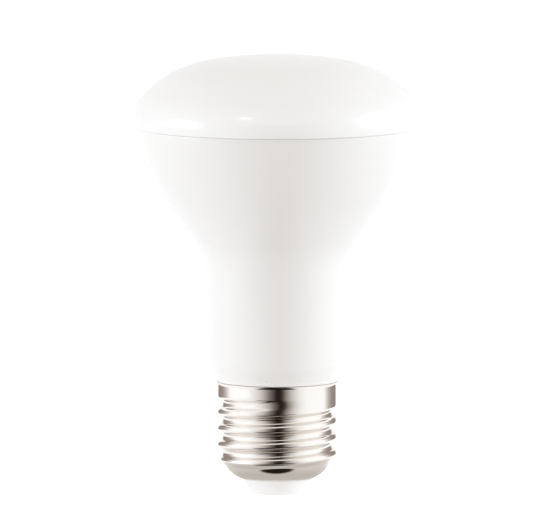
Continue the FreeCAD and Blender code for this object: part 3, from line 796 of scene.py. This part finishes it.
# Angles run from the front, to the right as the camera sees it. Places and sizes are in metres.
# A lamp with "only" lights that piece alone.
lamps = {
    "left_softbox": {
        "angle": -79, "distance": 1.3, "height": 0.15, "width": 0.55, "rise": 0.32, "power": 4.7},
    "right_softbox": {
        "angle": 90, "distance": 1.3, "height": 0.30, "width": 1.0, "rise": 0.7, "power": 7.9},
    "sparkle_lamp": {
        "angle": -28.3, "distance": 1.2, "height": 0.83, "width": 0.14, "rise": 0.04, "power": 1.0,
        "only": "opal_cover"},
    "cover_fill": {
        "angle": 0, "distance": 1.2, "height": 0.32, "width": 1.0, "rise": 0.6, "power": 0.9,
        "only": "opal_cover"},
    "left_fill": {
        "angle": -70, "distance": 1.3, "height": 0.42, "width": 1.2, "rise": 0.8, "power": 2.2,
        "only": "moulded_body"},
    "right_fill": {
        "angle": 60, "distance": 1.3, "height": 0.42, "width": 1.2, "rise": 0.8, "power": 1.4,
        "only": "moulded_body"},
}


# 1 where something is seen straight, in a reflection or through glass
def seenDirectly(tree):
    rays = addNode(tree, "ShaderNodeLightPath").outputs
    seen = calculate(tree, "MAXIMUM", rays["Is Camera Ray"], rays["Is Glossy Ray"])
    return calculate(tree, "MAXIMUM", seen, rays["Is Transmission Ray"])


# A smooth step over a distance, between two values in millimetres
def fade(tree, distance, start, end):
    return smoothStep(tree, distance, start * mm, end * mm)


# White where the air is seen, and the tent's light for the rest
def buildWorld():
    s = studio
    world = bpy.data.worlds.new("studioAir")
    bpy.context.scene.world = world
    world.use_nodes = True
    tree = world.node_tree
    tree.nodes.clear()
    direction = addNode(tree, "ShaderNodeTexCoord").outputs["Generated"]
    axes = addNode(tree, "ShaderNodeSeparateXYZ", {"Vector": direction}).outputs
    toFront = calculate(tree, "MULTIPLY", axes["Y"], -1.0)
    inFront = smoothStep(tree, toFront, s["frontFrom"], s["frontTo"])
    tent = mixColors(tree, inFront, s["tentLight"], s["frontLight"])
    light = mixColors(tree, seenDirectly(tree), tent, (1, 1, 1, 1))
    air = addNode(tree, "ShaderNodeBackground", {"Color": light, "Strength": 1.0})
    addNode(tree, "ShaderNodeOutputWorld", {"Surface": air.outputs[0]})


def buildFloor():
    s = studio
    shape = bmesh.new()
    bmesh.ops.create_circle(
        shape, cap_ends=True, radius=s["floorRadius"], segments=s["floorSegments"])
    floor = makePiece("floor", shape)
    material = emptyMaterial("pale_floor")
    tree = material.node_tree
    matt = addNode(tree, "ShaderNodeBsdfDiffuse", {"Color": s["floorColor"]})
    place = addNode(tree, "ShaderNodeTexCoord").outputs["Object"]
    axes = addNode(tree, "ShaderNodeSeparateXYZ", {"Vector": place}).outputs
    reach = lengthOf(tree, place)
    table = fade(tree, reach, s["tableTo"], s["tableFrom"])
    near = fade(tree, reach, s["nearTo"], s["nearFrom"])
    aside = fade(tree, calculate(tree, "ABSOLUTE", axes["X"]), s["sideFrom"], s["sideTo"])
    strips = calculate(tree, "MULTIPLY", aside, fade(tree, reach, s["sideEnd"], s["sideFade"]))
    lift = calculate(tree, "MULTIPLY", seenDirectly(tree), s["floorLift"])
    for area, strength in ((table, "tableGlow"), (near, "nearGlow"), (strips, "sideGlow")):
        lift = calculate(tree, "MULTIPLY_ADD", area, s[strength], lift)
    glow = addNode(tree, "ShaderNodeEmission", {"Color": (1, 1, 1, 1), "Strength": lift})
    both = addNode(tree, "ShaderNodeAddShader", {0: matt.outputs[0], 1: glow.outputs[0]})
    addNode(tree, "ShaderNodeOutputMaterial", {"Surface": both.outputs[0]})
    floor.data.materials.append(material)


# What the plated cap mirrors: a cup round it that only reflections see, black in front and white at the
# sides and behind. Its floor carries painted shade near the cap and painted patches: a grey disc of
# painted shade under the cap, and in front of it two dark ones with a grey one between them, which the
# cap mirrors as dark marks. Tones are (angle from the front, colour).
cup = {
    "radius": 78.0,
    "top": 95.0,
    "backTop": 60.0,
    "backFrom": 104.0,
    "backTo": 120.0,
    "foot": 0.2,
    "tones": (
        (-110, (1.16, 1.18, 1.20, 1)),
        (-84, (1.24, 1.26, 1.28, 1)),
        (-50, (1.12, 1.14, 1.16, 1)),
        (-38, (0.95, 0.96, 0.98, 1)),
        (-28, (0.72, 0.70, 0.70, 1)),
        (-13, (0.22, 0.19, 0.18, 1)),
        (-4, (0.06, 0.045, 0.040, 1)),
        (-1, (0.014, 0.009, 0.007, 1)),
        (5, (0.014, 0.009, 0.007, 1)),
        (10, (0.06, 0.045, 0.040, 1)),
        (17, (0.35, 0.31, 0.29, 1)),
        (30, (0.80, 0.80, 0.80, 1)),
        (42, (1.08, 1.10, 1.12, 1)),
        (60, (1.24, 1.28, 1.30, 1)),
        (180, (1.16, 1.18, 1.20, 1)),
    ),
    # painted shade round the cap, seen only in the cap's reflection
    "shade": (0.77, 0.74, 0.72, 1),
    "shadeRadius": 17.0,
    "shadeEnd": 30.0,
    # painted shade under the cap and painted dark marks in front of it, seen only in the cap's
    # reflection
    "patches": (
        {"place": (0, 0), "reach": (13.0, 13.0), "color": (0.62, 0.60, 0.58, 1)},
        {"place": (-0.5, -17.8), "reach": (9.0, 2.6), "color": (0.54, 0.51, 0.49, 1)},
        {"place": (-1.2, -14.2), "reach": (8.8, 2.5), "color": (0.012, 0.008, 0.006, 1)},
        {"place": (-1.0, -27.0), "reach": (20.0, 6.2), "color": (0.012, 0.008, 0.006, 1)},
    ),
    "patchCore": 0.8,  # of a patch's reach, as is the next
    "patchEdge": 1.25,
    "segments": 96,
}


# A colour ramp over an angle in degrees between two ends
def toneRamp(tree, degrees, low, high, tones):
    share = addNode(tree, "ShaderNodeMapRange", {"Value": degrees, "From Min": low, "From Max": high})
    ramp = addNode(tree, "ShaderNodeValToRGB", {"Fac": share.outputs["Result"]})
    stops = ramp.color_ramp.elements
    while len(stops) < len(tones):
        stops.new(0.5)  # each stop is moved to its place below
    for stop, (angle, color) in zip(stops, tones):
        stop.position = (angle - low) / (high - low)
        stop.color = color
    return ramp.outputs["Color"]


def paintPatch(tree, flat, ground, place, reach, color):
    inPatch = addNode(tree, "ShaderNodeMapping", {
        "Vector": flat,
        "Location": (place[0] * mm, place[1] * mm, 0),
        "Scale": (reach[0] * mm, reach[1] * mm, 1),
    }, vector_type="TEXTURE").outputs["Vector"]
    outside = smoothStep(tree, lengthOf(tree, inPatch), cup["patchCore"], cup["patchEdge"])
    return mixColors(tree, outside, color, ground)


# Where a mirrored point lies in plan, how far it is from the axis, and its angle from the front
def planPlace(tree):
    place = addNode(tree, "ShaderNodeTexCoord").outputs["Object"]
    axes = addNode(tree, "ShaderNodeSeparateXYZ", {"Vector": place}).outputs
    flat = addNode(tree, "ShaderNodeCombineXYZ", {"X": axes["X"], "Y": axes["Y"]}).outputs[0]
    toFront = calculate(tree, "MULTIPLY", axes["Y"], -1.0)
    angle = calculate(tree, "DEGREES", calculate(tree, "ARCTAN2", axes["X"], toFront))
    return flat, lengthOf(tree, flat), angle


# Only reflections see a mirrored piece, which glows in its own tones
def dressMirrored(piece, material, tone):
    tree = material.node_tree
    glow = addNode(tree, "ShaderNodeEmission", {"Color": tone, "Strength": 1.0})
    addNode(tree, "ShaderNodeOutputMaterial", {"Surface": glow.outputs[0]})
    piece.data.materials.append(material)
    piece.visible_camera = False
    piece.visible_diffuse = False
    piece.visible_shadow = False
    piece.visible_transmission = False


def buildCup():
    s = cup
    profile = [(0, s["foot"]), (s["radius"], s["foot"]), (s["radius"], s["top"])]
    piece = lathe("mirror_cup", profile, s["segments"])
    for vertex in piece.data.vertices:
        if vertex.co.z > s["backTop"] * mm:
            fromFront = abs(math.degrees(math.atan2(vertex.co.x, -vertex.co.y)))
            behind = min(1, max(0, (fromFront - s["backFrom"]) / (s["backTo"] - s["backFrom"])))
            vertex.co.z = (s["top"] + (s["backTop"] - s["top"]) * behind) * mm
    material = emptyMaterial("mirror_cup")
    tree = material.node_tree
    flat, reach, angle = planPlace(tree)
    allRound = toneRamp(tree, angle, -180, 180, s["tones"])
    # painted shade near the cap, then the painted patches, for the cap's reflection
    away = fade(tree, reach, s["shadeRadius"], s["shadeEnd"])
    tone = mixColors(tree, away, s["shade"], allRound)
    for patch in s["patches"]:
        tone = paintPatch(tree, flat, tone, **patch)
    dressMirrored(piece, material, tone)


# Brown flags that only reflections see stand in the cup behind the cap, one at each side. They glow in
# brown tones painted for the cap's reflection. A roof that is white from above hides them from the body,
# and its underside carries them on. Their tones run with the direction in which the cap mirrors, which
# is turned from a point's own angle by its offset from the axis.
flags = {
    "radius": 77.5,
    "foot": 0.3,
    "roofHeight": 25.4,
    "roofRadius": 13.9,
    "roofAngle": 50,  # from the front, where wall and roof begin at each side
    "roofTone": (1.16, 1.18, 1.20, 1),
    "whiteTo": 22.0,
    "brownFrom": 28.0,
    "offAxis": 12.0,  # how far from the axis the cap mirrors
    "tones": (
        (104.5, (1.20, 1.24, 1.28, 1)),
        (118.5, (0.62, 0.57, 0.55, 1)),
        (131, (0.38, 0.33, 0.31, 1)),
        (154, (0.30, 0.26, 0.24, 1)),
        (160, (1.10, 1.10, 1.10, 1)),
    ),
    "lastAngle": 220.0,  # where the ramp of tones ends
    "steps": 52,
}


def buildFlags():
    s = flags
    shape = bmesh.new()
    profile = (
        (s["roofRadius"], s["roofHeight"]),
        (s["radius"], s["roofHeight"]),
        (s["radius"], s["foot"]),
    )
    previous = None
    for step in range(s["steps"] + 1):
        angle = math.radians(s["roofAngle"] + (360 - 2 * s["roofAngle"]) * step / s["steps"])
        post = []
        for radius, height in profile:
            place = (radius * math.sin(angle) * mm, -radius * math.cos(angle) * mm, height * mm)
            post.append(shape.verts.new(place))
        if previous:
            for lower in range(len(profile) - 1):
                shape.faces.new((previous[lower], previous[lower + 1], post[lower + 1], post[lower]))
        previous = post
    piece = makePiece("mirror_flags", shape)
    material = emptyMaterial("mirror_flags")
    tree = material.node_tree
    reach, angle = planPlace(tree)[1:]
    slant = calculate(tree, "ARCSINE", calculate(tree, "DIVIDE", s["offAxis"] * mm, reach))
    turned = calculate(
        tree, "ADD", calculate(tree, "ABSOLUTE", angle), calculate(tree, "DEGREES", slant))
    # brown tones painted for the cap's reflection
    brown = toneRamp(tree, turned, 0, s["lastAngle"], s["tones"])
    under = addNode(tree, "ShaderNodeNewGeometry").outputs["Backfacing"]
    away = fade(tree, reach, s["whiteTo"], s["brownFrom"])
    shown = calculate(tree, "MULTIPLY", under, away)
    dressMirrored(piece, material, mixColors(tree, shown, s["roofTone"], brown))


def buildLamps():
    for name, s in lamps.items():
        lamp = bpy.data.lights.new(name, "AREA")
        lamp.shape = "RECTANGLE"
        lamp.size = s["width"]
        lamp.size_y = s["rise"]
        lamp.energy = s["power"]
        lamp.color = lampColor
        angle = math.radians(s["angle"])
        tilt = math.atan2(s["height"] - cover["rimHeight"] * mm, s["distance"])
        holder = makeObject(name, lamp)
        holder.location = (
            s["distance"] * math.sin(angle), -s["distance"] * math.cos(angle), s["height"])
        holder.rotation_euler = (math.radians(90) - tilt, 0, angle)
        if "only" in s:
            lit = bpy.data.collections.new(name)
            lit.objects.link(bpy.data.objects[s["only"]])
            holder.light_linking.receiver_collection = lit


# Camera: nearly level, far away through a long lens, as in the photograph

lens = {
    "imageWidth": 533,
    "mmPerPixel": 0.2199,
    "axisColumn": 277.0,
    "middleRow": 261.5,
    "tipRow": 493.0,
    "tipHeight": 0.3,
    "elevation": 5.8,
    "distance": 2.2,
    "sensorWidth": 36.0,
    "clipEnd": 50.0,
}


def buildCamera():
    s = lens
    elevation = math.radians(s["elevation"])
    sideways = (s["imageWidth"] / 2 - s["axisColumn"]) * s["mmPerPixel"] * mm
    rise = (s["tipRow"] - s["middleRow"]) * s["mmPerPixel"] / math.cos(elevation)
    aim = (sideways, 0, (s["tipHeight"] + rise) * mm)
    camera = bpy.data.cameras.new("camera")
    camera.sensor_width = s["sensorWidth"]
    camera.lens = s["sensorWidth"] * s["distance"] / (s["imageWidth"] * s["mmPerPixel"] * mm)
    camera.clip_end = s["clipEnd"]
    holder = makeObject("camera", camera)
    holder.location = (
        aim[0], -s["distance"] * math.cos(elevation), aim[2] + s["distance"] * math.sin(elevation))
    holder.rotation_euler = (math.radians(90) - elevation, 0, 0)
    bpy.context.scene.camera = holder


def main():
    bpy.context.scene.view_settings.view_transform = "Standard"
    buildCamera()
    opal = plastic(
        "opal_cover", (0.943, 0.940, 0.933), (0.933, 0.930, 0.921), 0.2,
        grainScale=1800.0, bumpStrength=0.03, IOR=1.5)
    white = plastic(
        "white_housing", (0.888, 0.878, 0.866), (0.874, 0.863, 0.850), 0.24,
        bumpStrength=0.05, IOR=1.5)
    nickel = metal("nickel_plate", (0.83, 0.79, 0.75), (0.77, 0.72, 0.67), 0.13)
    insulator = plastic(
        "white_insulator", (0.92, 0.915, 0.91), (0.91, 0.905, 0.90), 0.5,
        **{"Specular IOR Level": 0.1})
    contact = metal("contact_metal", (0.82, 0.76, 0.62), (0.70, 0.63, 0.50), 0.25)
    buildCover(opal)
    print("stage: cover")
    buildBody(white)
    print("stage: body")
    buildShell(nickel)
    print("stage: screw cap")
    buildInsulator(insulator)
    buildContact(contact)
    print("stage: insulator and contact")
    dressInside()
    print("stage: inside")
    buildWorld()
    buildFloor()
    buildCup()
    buildFlags()
    buildLamps()
    print("stage: studio")


main()
